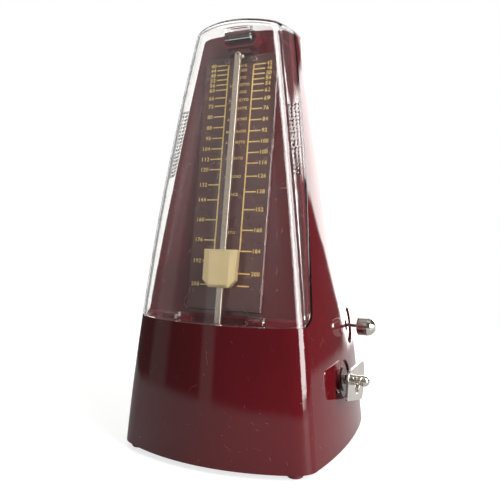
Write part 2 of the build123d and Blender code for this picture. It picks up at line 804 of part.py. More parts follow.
with BuildPart() as ratchet_wheel:
    with BuildSketch(shaft_plane(ratchet_x, winding_centre)):
        saw = []
        for tooth in range(ratchet_teeth):
            angle = 2 * math.pi * tooth / ratchet_teeth
            root = ratchet_radius - ratchet_depth
            saw.append((root * math.cos(angle), root * math.sin(angle)))
            saw.append((ratchet_radius * math.cos(angle), ratchet_radius * math.sin(angle)))
        Polygon(*saw, align=None)
        Circle(arbor_radius, mode=Mode.SUBTRACT)
    extrude(amount=ratchet_width)
ratchet_wheel.part.label = "ratchet_wheel"
export_step(ratchet_wheel.part, "parts/ratchet_wheel.step")

with BuildPart() as key_hub:
    with BuildSketch(shaft_plane(hub_start_x, winding_centre)):
        Circle(arbor_radius)
        Circle(1.5, mode=Mode.SUBTRACT)
    extrude(amount=key_plate_x - hub_start_x)
    with BuildSketch(shaft_plane(key_plate_x - 0.8, winding_centre)):
        Circle(key_hole_radius + 1.0)
        Circle(arbor_radius, mode=Mode.SUBTRACT)
    extrude(amount=0.8)
key_hub.part.label = "key_hub"
export_step(key_hub.part, "parts/key_hub.step")

with BuildPart() as key_plate:
    with BuildSketch(shaft_plane(key_plate_x, winding_centre)) as wing:
        with Locations(Location((0, -key_wing_drop), key_tilt)):
            Polygon(
                (key_front, -key_front_half),
                (key_rear, -key_rear_half),
                (key_rear, key_rear_half),
                (key_front, key_front_half),
                align=None,
            )
        fillet(wing.vertices().sort_by(Axis.X)[1:], radius=key_round)
        fillet(wing.vertices().sort_by(Axis.X)[0], radius=key_heel_round)
        with Locations((0, -key_drop)):
            Circle(key_hole_radius, mode=Mode.SUBTRACT)
    extrude(amount=key_plate_thickness)
    rims = key_plate.faces().filter_by(Axis.X)
    fillet(rims.edges(), radius=0.3)
key_plate.part.label = "key_plate"
export_step(key_plate.part, "parts/key_plate.step")

with BuildPart() as key_ball:
    with BuildSketch(shaft_plane(key_plate_x, winding_centre)):
        Circle(key_neck_radius)
    extrude(amount=key_ball_x - key_plate_x)
    with BuildSketch(shaft_plane(key_plate_x + 0.9, winding_centre)):
        with PolarLocations(key_neck_radius, 10):
            Circle(0.35)
    extrude(amount=2.6, mode=Mode.SUBTRACT)
    with Locations((key_ball_x, winding_y, winding_z)):
        Sphere(key_ball_radius)
    with BuildSketch(shaft_plane(key_plate_x, winding_centre)):
        Circle(1.5)
    extrude(amount=arbor_end_x - key_plate_x, mode=Mode.SUBTRACT)
key_ball.part.label = "key_ball"
export_step(key_ball.part, "parts/key_ball.step")

with BuildPart() as arbor_bush:
    with BuildSketch(key_wall.offset(-2.6)):
        Circle(arbor_bush_radius)
    extrude(amount=2.6)
    with BuildSketch(key_wall):
        Circle(6.2)
    extrude(amount=0.6)
    with BuildSketch(shaft_plane(40, winding_centre)):
        Circle(arbor_bore + 0.25)
    extrude(amount=25, mode=Mode.SUBTRACT)
arbor_bush.part.label = "arbor_bush"
export_step(arbor_bush.part, "parts/arbor_bush.step")

# Intermediate shaft: wheel, pinion and the stepped drum that times the bell

pinion_x, pinion_width = -21.0, 4.0
wheel_x, wheel_width = -14.6, 1.4
drum_x, drum_step = -8.4, 4.2

with BuildPart() as intermediate_arbor:
    with BuildSketch(shaft_plane(left_plate_end + 0.3, wheel_centre)):
        Circle(thin_arbor_radius)
    extrude(amount=right_plate_x - left_plate_end - 0.6)
    with BuildSketch(shaft_plane(left_plate_x, wheel_centre)):
        Circle(pivot_radius)
    extrude(amount=right_plate_end - left_plate_x)
intermediate_arbor.part.label = "intermediate_arbor"
export_step(intermediate_arbor.part, "parts/intermediate_arbor.step")

with BuildPart() as intermediate_pinion:
    with BuildSketch(shaft_plane(pinion_x, wheel_centre)):
        Polygon(*gear_points(pinion_teeth, great_module, first_line + mesh_turn), align=None)
        Circle(thin_arbor_radius, mode=Mode.SUBTRACT)
    extrude(amount=pinion_width)
intermediate_pinion.part.label = "intermediate_pinion"
export_step(intermediate_pinion.part, "parts/intermediate_pinion.step")

with BuildPart() as intermediate_wheel:
    with BuildSketch(shaft_plane(wheel_x, wheel_centre)):
        Polygon(*gear_points(wheel_teeth, wheel_module, second_line), align=None)
        Circle(thin_arbor_radius, mode=Mode.SUBTRACT)
        with PolarLocations(7.2, 5):
            Circle(2.8, mode=Mode.SUBTRACT)
    extrude(amount=wheel_width)
intermediate_wheel.part.label = "intermediate_wheel"
export_step(intermediate_wheel.part, "parts/intermediate_wheel.step")

with BuildPart() as beat_drum:
    for track, beats in enumerate((2, 3, 4, 6)):
        with BuildSketch(shaft_plane(drum_x + drum_step * track, wheel_centre)):
            Circle(4.3)
            with PolarLocations(4.2, beats):
                Circle(1.2)
            Circle(thin_arbor_radius, mode=Mode.SUBTRACT)
        extrude(amount=drum_step)
beat_drum.part.label = "beat_drum"
export_step(beat_drum.part, "parts/beat_drum.step")

# Escape shaft: pinion and crown wheel, whose teeth face the staff

crown_x, crown_disc, crown_depth = -9.6, 1.0, 4.8
crown_cut = 2.2

with BuildPart() as escape_arbor:
    with BuildSketch(shaft_plane(left_plate_x, escape_centre)):
        Circle(pivot_radius)
    extrude(amount=crown_x + crown_disc - left_plate_x)
escape_arbor.part.label = "escape_arbor"
export_step(escape_arbor.part, "parts/escape_arbor.step")

with BuildPart() as escape_pinion:
    with BuildSketch(shaft_plane(wheel_x - 1.2, escape_centre)):
        Polygon(*gear_points(pinion_teeth, wheel_module, second_line + mesh_turn), align=None)
        Circle(pivot_radius, mode=Mode.SUBTRACT)
    extrude(amount=3.6)
escape_pinion.part.label = "escape_pinion"
export_step(escape_pinion.part, "parts/escape_pinion.step")

with BuildPart() as escape_wheel:
    with BuildSketch(shaft_plane(crown_x, escape_centre)):
        Circle(escape_radius)
        Circle(pivot_radius, mode=Mode.SUBTRACT)
    extrude(amount=crown_disc)
    with BuildSketch(shaft_plane(crown_x, escape_centre)):
        Circle(escape_radius)
        Circle(escape_radius - 0.9, mode=Mode.SUBTRACT)
    extrude(amount=crown_depth)
    for tooth in range(escape_teeth):
        turn = 2 * math.pi * tooth / escape_teeth
        outward = Vector(0, math.cos(turn), math.sin(turn))
        gullet = Plane(
            origin=Vector(crown_x + crown_depth, *escape_centre) + outward * (escape_radius - 2),
            x_dir=Vector(0, -math.sin(turn), math.cos(turn)),
            z_dir=outward,
        )
        with BuildSketch(gullet):
            Polygon((-1.25, crown_cut), (1.25, crown_cut), (1.25, -crown_cut), align=None)
        extrude(amount=4, mode=Mode.SUBTRACT)
escape_wheel.part.label = "escape_wheel"
export_step(escape_wheel.part, "parts/escape_wheel.step")

# Bell, its post and nut, the hammer on its shaft, and the rod that selects the beat

bell_start_x, bell_depth, bell_wall, bell_bore = 18.4, 8.5, 0.9, 1.5
mouth, crown = bell_start_x, bell_start_x + bell_depth
hammer_x = 19.6
hammer_length = 15.6
hammer_head_radius = 2.0
finger_x = 4.6

with BuildPart() as bell:
    with BuildSketch(Plane(origin=(0, *bell_centre), x_dir=(1, 0, 0), z_dir=(0, -1, 0))):
        with BuildLine():
            Line((mouth, bell_radius), (mouth, bell_radius - bell_wall))
            TangentArc((mouth, bell_radius - bell_wall), (crown - bell_wall, bell_bore), tangent=(1, 0))
            Line((crown - bell_wall, bell_bore), (crown, bell_bore))
            TangentArc((mouth, bell_radius), (crown, bell_bore), tangent=(1, 0))
        make_face()
    revolve(axis=Axis((0, *bell_centre), (1, 0, 0)))
bell.part.label = "bell"
export_step(bell.part, "parts/bell.step")

with BuildPart() as bell_post:
    with BuildSketch(shaft_plane(right_plate_x, bell_centre)):
        Circle(1.5)
    extrude(amount=crown + 2.2 - right_plate_x)
    with BuildSketch(shaft_plane(right_plate_end, bell_centre)):
        Circle(2.6)
    extrude(amount=crown - bell_wall - right_plate_end - 0.6)
bell_post.part.label = "bell_post"
export_step(bell_post.part, "parts/bell_post.step")

with BuildPart() as bell_nut:
    with BuildSketch(shaft_plane(crown + 0.3, bell_centre)):
        RegularPolygon(2.7, 6)
        Circle(1.5, mode=Mode.SUBTRACT)
    extrude(amount=1.8)
bell_nut.part.label = "bell_nut"
export_step(bell_nut.part, "parts/bell_nut.step")

with BuildPart() as hammer_bush:
    with BuildSketch(shaft_plane(right_plate_x - 3, hammer_centre)):
        Circle(2.2)
        Circle(thin_arbor_radius + running_gap, mode=Mode.SUBTRACT)
    extrude(amount=6.5)
hammer_bush.part.label = "hammer_bush"
export_step(hammer_bush.part, "parts/hammer_bush.step")

with BuildPart() as hammer_arbor:
    with BuildSketch(shaft_plane(finger_x - 1.5, hammer_centre)):
        Circle(thin_arbor_radius)
    extrude(amount=hammer_x + 3.5 - finger_x + 1.5)
hammer_arbor.part.label = "hammer_arbor"
export_step(hammer_arbor.part, "parts/hammer_arbor.step")

with BuildPart() as hammer:
    with BuildSketch(shaft_plane(hammer_x, hammer_centre)):
        Circle(2.6)
        with Locations((0, -hammer_length / 2)):
            Rectangle(1.6, hammer_length)
        Circle(thin_arbor_radius, mode=Mode.SUBTRACT)
    extrude(amount=1.2)
    with BuildSketch(shaft_plane(hammer_x - 1.4, hammer_centre)):
        with Locations((0, -hammer_length)):
            Circle(hammer_head_radius)
    extrude(amount=4)
hammer.part.label = "hammer"
export_step(hammer.part, "parts/hammer.step")

finger_way = math.degrees(direction(hammer_centre, wheel_centre))
finger_length = math.dist(hammer_centre, wheel_centre) - 6.6

with BuildPart() as hammer_finger:
    with BuildSketch(shaft_plane(finger_x, hammer_centre)):
        Circle(2.4)
        with Locations(Location((0, 0), finger_way)):
            with Locations((finger_length / 2, 0)):
                Rectangle(finger_length, 1.6)
        Circle(thin_arbor_radius, mode=Mode.SUBTRACT)
    extrude(amount=1.2)
hammer_finger.part.label = "hammer_finger"
export_step(hammer_finger.part, "parts/hammer_finger.step")

coil_radius, coil_wire = 2.3, 0.3
coil_x = hammer_x + 1.5

with BuildPart() as hammer_spring:
    with BuildLine() as coil_line:
        Helix(pitch=0.8, height=1.6, radius=coil_radius, center=(coil_x, *hammer_centre), direction=(1, 0, 0))
    with BuildSketch(Plane(origin=coil_line.line @ 0, z_dir=coil_line.line % 0)):
        Circle(coil_wire)
    sweep(path=coil_line.line)
hammer_spring.part.label = "hammer_spring"
export_step(hammer_spring.part, "parts/hammer_spring.step")

knob_centre = (knob_y, knob_z)
rod_radius = 0.95
rod_inner_x = 20.0
knob_radius, knob_cylinder = 5.1, 5.8
knob_nose = ((1.8, 20), (1.9, 48))

with BuildPart() as bell_rod:
    with BuildSketch(shaft_plane(rod_inner_x, knob_centre)):
        Circle(rod_radius)
    extrude(amount=knob_back_x + 3 - rod_inner_x)
    with BuildSketch(shaft_plane(rod_inner_x + 2, knob_centre)):
        Circle(2.4)
    extrude(amount=1.2)
bell_rod.part.label = "bell_rod"
export_step(bell_rod.part, "parts/bell_rod.step")

with BuildPart() as bell_knob:
    with BuildSketch(shaft_plane(knob_back_x, knob_centre)):
        Circle(knob_radius)
    extrude(amount=knob_cylinder)
    fillet(bell_knob.faces().sort_by(Axis.X)[0].edges(), radius=1.1)
    nose_x, nose_radius = knob_back_x + knob_cylinder, knob_radius
    for step, lean in knob_nose:
        with BuildSketch(shaft_plane(nose_x, knob_centre)):
            Circle(nose_radius)
        extrude(amount=step, taper=lean)
        nose_x += step
        nose_radius -= step * math.tan(math.radians(lean))
    fillet(bell_knob.faces().sort_by(Axis.X)[-1].edges(), radius=1.0)
    with BuildSketch(shaft_plane(knob_back_x, knob_centre)):
        Circle(rod_radius)
    extrude(amount=3, mode=Mode.SUBTRACT)
bell_knob.part.label = "bell_knob"
export_step(bell_knob.part, "parts/bell_knob.step")

with BuildPart() as knob_bush:
    with BuildSketch(knob_wall.offset(-2.6)):
        Circle(knob_bush_radius)
    extrude(amount=2.6)
    with BuildSketch(knob_wall):
        Circle(2.8)
    extrude(amount=0.5)
    with BuildSketch(shaft_plane(40, knob_centre)):
        Circle(rod_radius + running_gap)
    extrude(amount=25, mode=Mode.SUBTRACT)
knob_bush.part.label = "knob_bush"
export_step(knob_bush.part, "parts/knob_bush.step")
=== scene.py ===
"""Looks of a pyramid metronome: its materials, printed scale and grip ribs, in a plain studio."""

import json
import math

import bmesh
import bpy
from mathutils import Matrix, Vector
from mathutils.bvhtree import BVHTree

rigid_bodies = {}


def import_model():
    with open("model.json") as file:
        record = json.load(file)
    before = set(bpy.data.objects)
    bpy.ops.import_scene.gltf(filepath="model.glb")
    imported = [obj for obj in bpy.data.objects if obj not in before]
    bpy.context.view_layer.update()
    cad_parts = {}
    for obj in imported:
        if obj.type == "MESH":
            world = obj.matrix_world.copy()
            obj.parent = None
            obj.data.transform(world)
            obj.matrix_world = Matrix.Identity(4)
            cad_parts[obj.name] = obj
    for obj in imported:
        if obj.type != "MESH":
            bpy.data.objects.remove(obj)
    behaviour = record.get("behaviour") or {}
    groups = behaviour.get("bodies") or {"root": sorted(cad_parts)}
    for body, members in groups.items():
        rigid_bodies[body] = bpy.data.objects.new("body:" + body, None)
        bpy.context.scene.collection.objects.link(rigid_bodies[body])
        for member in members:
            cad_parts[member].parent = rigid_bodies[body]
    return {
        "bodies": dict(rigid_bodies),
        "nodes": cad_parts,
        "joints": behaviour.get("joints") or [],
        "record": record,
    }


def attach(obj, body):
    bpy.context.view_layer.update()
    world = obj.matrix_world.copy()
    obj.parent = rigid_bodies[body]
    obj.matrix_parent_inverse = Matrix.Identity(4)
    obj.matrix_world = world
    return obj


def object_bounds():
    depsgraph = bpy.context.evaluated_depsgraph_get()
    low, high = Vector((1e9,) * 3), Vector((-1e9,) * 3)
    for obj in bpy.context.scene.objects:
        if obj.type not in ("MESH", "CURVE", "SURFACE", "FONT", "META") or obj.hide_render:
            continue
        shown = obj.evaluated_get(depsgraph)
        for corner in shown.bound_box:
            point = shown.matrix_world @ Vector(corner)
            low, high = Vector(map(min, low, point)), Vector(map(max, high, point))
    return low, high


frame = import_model()
cad_low, cad_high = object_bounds()
bodies, nodes = frame["bodies"], frame["nodes"]
joints = {joint["name"]: joint for joint in frame["joints"]}
scene = bpy.context.scene

MM = 0.001
height = cad_high.z - cad_low.z

# The dial's own directions: across it, up it and out of it, from the pendulum's pivot
pivot = Vector(joints["pendulum_swing"]["pos_m"])
outward = Vector(joints["pendulum_swing"]["axis"]).normalized()
uphill = Vector(joints["weight_slide"]["axis"]).normalized()
across = uphill.cross(outward).normalized()


def on_dial(x, up, lift=0.0):
    """A point on the scale's face: millimetres across, up from the pivot and out of the face."""
    return pivot + MM * (x * across + up * uphill + lift * outward)


def dial_matrix(x, up, lift):
    """Places a flat drawing made in X and Y on the scale's face."""
    turn = Matrix((across, uphill, outward)).transposed().to_4x4()
    return Matrix.Translation(on_dial(x, up, lift)) @ turn


# Node-building helpers


class Nodes:
    """Short calls that add and join nodes in one node tree."""

    def __init__(self, tree):
        self.tree = tree

    def add(self, kind, **settings):
        node = self.tree.nodes.new("ShaderNode" + kind)
        for name, value in settings.items():
            setattr(node, name, value)
        return node

    def link(self, source, target):
        self.tree.links.new(source, target)

    def fill(self, socket, value):
        if isinstance(value, bpy.types.NodeSocket):
            self.link(value, socket)
        else:
            socket.default_value = value

    def math(self, operation, first, second=0.0, clamp=False):
        node = self.add("Math", operation=operation, use_clamp=clamp)
        self.fill(node.inputs[0], first)
        self.fill(node.inputs[1], second)
        return node.outputs[0]

    def vector(self, operation, first, second=None, output=0):
        node = self.add("VectorMath", operation=operation)
        self.fill(node.inputs[0], first)
        if second is not None:
            self.fill(node.inputs[1], second)
        return node.outputs[output]

    def ramp(self, value, low, high, to_low=0.0, to_high=1.0):
        """A smooth step from one value to another as the input passes from low to high."""
        node = self.add("MapRange", interpolation_type="SMOOTHSTEP")
        self.fill(node.inputs["Value"], value)
        for name, number in zip(("From Min", "From Max", "To Min", "To Max"), (low, high, to_low, to_high)):
            node.inputs[name].default_value = number
        return node.outputs["Result"]

    def mix(self, factor, first, second):
        """A colour between two colours."""
        node = self.add("Mix", data_type="RGBA")
        self.fill(node.inputs["Factor"], factor)
        self.fill(node.inputs["A"], first)
        self.fill(node.inputs["B"], second)
        return node.outputs["Result"]

    def noise(self, scale, detail=3.0, stretch=None, roughness=0.5):
        """Noise over the object's own space, drawn out along an axis by a stretch of three factors."""
        place = self.add("TexCoord").outputs["Object"]
        if stretch:
            place = self.vector("MULTIPLY", place, stretch)
        node = self.add("TexNoise")
        self.link(place, node.inputs["Vector"])
        node.inputs["Scale"].default_value = scale
        node.inputs["Detail"].default_value = detail
        node.inputs["Roughness"].default_value = roughness
        return node.outputs["Fac"]

    def scratches(self, cells, length, width):
        """Short straight hairlines, one for each random cell: 1 in a hairline and 0 elsewhere."""
        place = self.add("TexCoord").outputs["Object"]
        cell = self.add("TexVoronoi")
        self.link(place, cell.inputs["Vector"])
        cell.inputs["Scale"].default_value = cells
        away = self.vector("SUBTRACT", place, cell.outputs["Position"])
        tilt = self.vector("NORMALIZE", self.vector("SUBTRACT", cell.outputs["Color"], (0.5, 0.5, 0.5)))
        side = self.math("ABSOLUTE", self.vector("DOT_PRODUCT", away, tilt, "Value"))
        reach = self.vector("LENGTH", away, output="Value")
        return self.math("MULTIPLY", self.ramp(side, width, 0.0), self.ramp(reach, length, 0.6 * length))

    def specks(self, cells, size, share):
        """Small round specks in a share of the random cells."""
        place = self.add("TexCoord").outputs["Object"]
        cell = self.add("TexVoronoi")
        self.link(place, cell.inputs["Vector"])
        cell.inputs["Scale"].default_value = cells
        draw = self.vector("DOT_PRODUCT", cell.outputs["Color"], (1, 0, 0), "Value")
        chosen = self.ramp(draw, share, 0.9 * share)
        away = self.vector("LENGTH", self.vector("SUBTRACT", place, cell.outputs["Position"]), output="Value")
        return self.math("MULTIPLY", chosen, self.ramp(away, size, 0.4 * size))

    def bump(self, amount, distance, strength=1.0):
        node = self.add("Bump")
        node.inputs["Strength"].default_value = strength
        node.inputs["Distance"].default_value = distance
        self.link(amount, node.inputs["Height"])
        return node.outputs["Normal"]


def material_with_shader(name, **values):
    """A new material with one Principled shader, its constant sockets set."""
    material = bpy.data.materials.new(name)
    material.use_nodes = True
    kit = Nodes(material.node_tree)
    material.node_tree.nodes.clear()
    output = kit.add("OutputMaterial")
    shader = kit.add("BsdfPrincipled")
    kit.link(shader.outputs["BSDF"], output.inputs["Surface"])
    for socket, value in values.items():
        shader.inputs[socket.replace("_", " ")].default_value = value
    return material, kit, shader


# Materials


def moulded_plastic(name, deep, light, dust, roughness, coat=0.0, marks=1.0):
    """Moulded plastic with a slow colour drift, hairline scratches, dust specks and a faint ripple."""
    material, kit, shader = material_with_shader(name, IOR=1.52, Coat_Weight=coat, Coat_Roughness=0.04)
    drift = kit.ramp(kit.noise(14.0, 2.0), 0.3, 0.7)
    body = kit.mix(drift, deep, light)
    long_marks = kit.scratches(85.0, 0.0026, 0.00006)
    short_marks = kit.scratches(170.0, 0.0011, 0.00005)
    specks = kit.specks(260.0, 0.00022, 0.35)
    worn = kit.math("MAXIMUM", kit.math("MAXIMUM", long_marks, short_marks), specks)
    worn = kit.math("MULTIPLY", worn, kit.ramp(kit.noise(30.0, 2.0), 0.35, 0.65, 0.15 * marks, 0.6 * marks))
    kit.link(kit.mix(worn, body, dust), shader.inputs["Base Color"])
    haze = kit.ramp(kit.noise(45.0, 4.0), 0.3, 0.75, roughness, roughness * 1.7)
    kit.link(kit.math("ADD", haze, kit.math("MULTIPLY", worn, 0.35)), shader.inputs["Roughness"])
    kit.link(kit.bump(kit.noise(38.0, 1.0), 0.00035, 0.10), shader.inputs["Normal"])
    return material


def clear_plastic(name):
    """Clear polished plastic with a few hairlines. Lamps shine through it, so what it covers stays lit."""
    material, kit, shader = material_with_shader(name, IOR=1.49, Transmission_Weight=1.0)
    shader.inputs["Base Color"].default_value = (0.985, 0.985, 0.98, 1.0)
    marks = kit.math("MAXIMUM", kit.scratches(90.0, 0.0024, 0.00005), kit.specks(240.0, 0.0002, 0.25))
    kit.link(kit.math("MULTIPLY", marks, 0.4), shader.inputs["Roughness"])
    kit.link(kit.bump(kit.noise(26.0, 1.0), 0.0003, 0.004), shader.inputs["Normal"])
    passing = kit.add("BsdfTransparent")
    passing.inputs["Color"].default_value = (0.9, 0.9, 0.9, 1.0)
    mixed = kit.add("MixShader")
    kit.link(kit.add("LightPath").outputs["Is Shadow Ray"], mixed.inputs["Fac"])
    kit.link(shader.outputs["BSDF"], mixed.inputs[1])
    kit.link(passing.outputs["BSDF"], mixed.inputs[2])
    output = next(node for node in kit.tree.nodes if node.type == "OUTPUT_MATERIAL")
    kit.link(mixed.outputs[0], output.inputs["Surface"])
    return material


def metal(name, bright, dull, roughness, grain=(60.0, 60.0, 60.0), grain_scale=10.0, depth=0.00004):
    """Metal with a drawn or turned grain, a slow tarnish and fine scratches."""
    material, kit, shader = material_with_shader(name, Metallic=1.0)
    tarnish = kit.ramp(kit.noise(120.0, 4.0), 0.35, 0.75)
    lines = kit.noise(grain_scale, 5.0, grain, 0.6)
    marks = kit.scratches(300.0, 0.0009, 0.00003)
    shade = kit.math("ADD", kit.math("MULTIPLY", tarnish, 0.6), kit.math("MULTIPLY", lines, 0.3))
    kit.link(kit.mix(shade, bright, dull), shader.inputs["Base Color"])
    spread = kit.ramp(lines, 0.2, 0.8, 0.75 * roughness, 1.35 * roughness)
    kit.link(kit.math("ADD", spread, kit.math("MULTIPLY", marks, 0.2)), shader.inputs["Roughness"])
    kit.link(kit.bump(lines, depth, 0.08), shader.inputs["Normal"])
    return material


def printed_gold(name):
    """Gold printing ink: a warm metallic paint with a fine grain and thin spots."""
    material, kit, shader = material_with_shader(name, Metallic=0.35, IOR=1.5)
    grain = kit.ramp(kit.noise(900.0, 2.0), 0.3, 0.7)
    kit.link(kit.mix(grain, (0.62, 0.42, 0.12, 1), (0.80, 0.60, 0.22, 1)), shader.inputs["Base Color"])
    kit.link(kit.ramp(kit.noise(1500.0, 1.0), 0.3, 0.7, 0.34, 0.5), shader.inputs["Roughness"])
    return material


def lacquered_plate(name):
    """The scale's brown-burgundy lacquer, with a fine pressed texture and light hairlines."""
    material, kit, shader = material_with_shader(name, IOR=1.5)
    drift = kit.ramp(kit.noise(22.0, 3.0), 0.3, 0.7)
    marks = kit.math("MULTIPLY", kit.scratches(120.0, 0.0018, 0.00004), 0.35)
    body = kit.mix(drift, (0.066, 0.026, 0.024, 1), (0.082, 0.034, 0.030, 1))
    kit.link(kit.mix(marks, body, (0.3, 0.22, 0.2, 1)), shader.inputs["Base Color"])
    kit.link(kit.ramp(kit.noise(60.0, 4.0), 0.3, 0.7, 0.16, 0.3), shader.inputs["Roughness"])
    kit.link(kit.bump(kit.noise(700.0, 3.0), 0.00003, 0.2), shader.inputs["Normal"])
    return material


case_plastic = moulded_plastic(
    "case_plastic", (0.066, 0.0030, 0.0055, 1), (0.084, 0.0038, 0.0068, 1), (0.42, 0.3, 0.3, 1), 0.045
)
materials = {
    "case_plastic": case_plastic,
    "bush_plastic": case_plastic,
    "feet_plastic": moulded_plastic(
        "feet_plastic", (0.105, 0.006, 0.010, 1), (0.135, 0.008, 0.013, 1), (0.35, 0.27, 0.26, 1), 0.3
    ),
    "base_plastic": moulded_plastic(
        "base_plastic", (0.016, 0.006, 0.007, 1), (0.024, 0.009, 0.010, 1), (0.2, 0.17, 0.16, 1), 0.4
    ),
    "stud_plastic": moulded_plastic(
        "stud_plastic", (0.14, 0.085, 0.08, 1), (0.18, 0.11, 0.10, 1), (0.4, 0.33, 0.3, 1), 0.12, 0.2
    ),
    "drum_plastic": moulded_plastic(
        "drum_plastic", (0.74, 0.70, 0.60, 1), (0.80, 0.77, 0.68, 1), (0.5, 0.46, 0.38, 1), 0.35
    ),
    "cover_clear": clear_plastic("cover_clear"),
    "scale_enamel": lacquered_plate("scale_enamel"),
    "rod_steel": metal("rod_steel", (0.62, 0.53, 0.44, 1), (0.52, 0.44, 0.36, 1), 0.30, (60, 60, 1.5), 60.0),
    "weight_brass": metal(
        "weight_brass", (1.0, 0.82, 0.46, 1), (0.97, 0.76, 0.40, 1), 0.42, (1.5, 30, 60), 40.0, 0.00002
    ),
    "spring_steel": metal("spring_steel", (0.42, 0.44, 0.48, 1), (0.24, 0.25, 0.30, 1), 0.28),
    "nickel": metal("nickel", (0.70, 0.66, 0.61, 1), (0.60, 0.56, 0.52, 1), 0.07),
    "screw_steel": metal("screw_steel", (0.62, 0.63, 0.64, 1), (0.44, 0.44, 0.43, 1), 0.28),
    "frame_steel": metal("frame_steel", (0.56, 0.57, 0.58, 1), (0.40, 0.40, 0.40, 1), 0.3, (60, 2, 60), 40.0),
    "gear_brass": metal("gear_brass", (0.78, 0.58, 0.24, 1), (0.60, 0.42, 0.15, 1), 0.22),
    "arbor_steel": metal("arbor_steel", (0.60, 0.60, 0.61, 1), (0.42, 0.42, 0.43, 1), 0.2),
    "bob_iron": metal("bob_iron", (0.20, 0.20, 0.20, 1), (0.12, 0.115, 0.11, 1), 0.5, depth=0.0002),
}

for part in frame["record"]["subparts"]:
    mesh = nodes[part["node"]].data
    mesh.materials.clear()
    mesh.materials.append(materials[part["material_slot"]])


# Mesh helpers


def finish_piece(name, mesh, material, body, smooth=True):
    """Turns a mesh into a piece that rides on a body, finished with the material it is given."""
    for face in mesh.polygons:
        face.use_smooth = smooth
    mesh.materials.clear()
    mesh.materials.append(material)
    piece = bpy.data.objects.new(name, mesh)
    scene.collection.objects.link(piece)
    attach(piece, body)
    return piece


def mesh_from(name, form):
    """A mesh from a filled bmesh, which is freed."""
    bmesh.ops.recalc_face_normals(form, faces=form.faces)
    mesh = bpy.data.meshes.new(name)
    form.to_mesh(mesh)
    form.free()
    return mesh


# The printed scale: two gold lines, a tick and a number for each tempo, and the tempo words

PRINT_LIFT = 0.02
PRINT_THICKNESS = 0.05
LINE_X = 7.2
LINE_WIDTH = 0.72
TICK_WIDTH = 0.62
TICK_LENGTH = 6.5
NUMBER_GAP = 0.7
NUMBER_SIZE = 2.85
WORD_SIZE = 2.0
WORD_WIDEST = 11.2
LETTER_WEIGHT = 0.019
LETTER_SPACING = 1.12
STROKE_BLUNTING = 0.18
RIGHT_LINE_LOWEST = 184
RIGHT_TICK_ALONE = 208
LEFT_TEMPOS = (40, 44, 48, 52, 56, 60, 66, 72, 80, 88, 96, 104, 112, 120, 132, 144, 160, 176, 192, 208)
RIGHT_TEMPOS = (42, 46, 50, 54, 58, 63, 69, 76, 84, 92, 100, 108, 116, 126, 138, 152, 168, 184, 200)
TEMPO_WORDS = {
    42: "GRAVE", 46: "LARGO", 52: "LENTO", 57.5: "LARGHETTO", 63: "ADAGIO", 69: "ADAGIETTO", 75: "ANDANTE",
    83: "ANDANTINO", 92: "MODERATO", 100: "ALLEGRETTO", 112: "ANIMATO", 126: "ALLEGRO", 140: "VIVACE",
    170: "PRESTO",
}
# The marks follow the pendulum's law: the weight's height for a rate, with a fixed bob below the pivot
PERIOD_TERM = 32.576e5
BOB_MOMENT = 149.87
BOB_INERTIA = 9326.9
WEIGHT_EDGE = 25.44


def mark_height(tempo):
    """How far up the dial the weight's top edge stands for a tempo, in millimetres."""
    rate = PERIOD_TERM / tempo**2
    return (-rate + math.sqrt(rate**2 - 4 * (BOB_INERTIA - rate * BOB_MOMENT))) / 2 + WEIGHT_EDGE


def add_stroke(form, start, end, width):
    """A printed bar between two dial points, with softened ends."""
    begin, finish = Vector(start), Vector(end)
    along = (finish - begin).normalized()
    side = Vector((-along.y, along.x))
    blunt = STROKE_BLUNTING * width
    outline = [
        begin + side * (width / 2 - blunt), begin + along * blunt + side * width / 2,
        finish - along * blunt + side * width / 2, finish + side * (width / 2 - blunt),
        finish - side * (width / 2 - blunt), finish - along * blunt - side * width / 2,
        begin + along * blunt - side * width / 2, begin - side * (width / 2 - blunt),
    ]
    low = [form.verts.new(on_dial(p.x, p.y, PRINT_LIFT)) for p in outline]
    high = [form.verts.new(on_dial(p.x, p.y, PRINT_LIFT + PRINT_THICKNESS)) for p in outline]
    form.faces.new(high)
    form.faces.new(low[::-1])
    for i in range(len(outline)):
        j = (i + 1) % len(outline)
        form.faces.new((low[i], low[j], high[j], high[i]))


def add_text(form, text, x, up, size, align, widest=None):
    """Adds printed lettering, in the built-in sans-serif type, to a bmesh."""
    curve = bpy.data.curves.new("lettering", "FONT")
    curve.body = text
    curve.size = size
    curve.align_x = "LEFT"
    curve.align_y = "CENTER"
    curve.extrude = PRINT_THICKNESS / 2
    curve.offset = LETTER_WEIGHT * size
    curve.space_character = LETTER_SPACING
    curve.resolution_u = 4
    holder = bpy.data.objects.new("lettering", curve)
    scene.collection.objects.link(holder)
    bpy.context.view_layer.update()
    mesh = bpy.data.meshes.new_from_object(holder.evaluated_get(bpy.context.evaluated_depsgraph_get()))
    left = min(v.co.x for v in mesh.vertices)
    right = max(v.co.x for v in mesh.vertices)
    squeeze = min(1.0, widest / (right - left)) if widest else 1.0
    anchor = {"LEFT": left, "CENTER": (left + right) / 2, "RIGHT": right}[align]
    shape = Matrix.Diagonal((MM * squeeze, MM, MM, 1)) @ Matrix.Translation((-anchor, 0, PRINT_THICKNESS / 2))
    mesh.transform(dial_matrix(x, up, PRINT_LIFT) @ shape)
    form.from_mesh(mesh)
    bpy.data.objects.remove(holder)
    bpy.data.curves.remove(curve)
    bpy.data.meshes.remove(mesh)


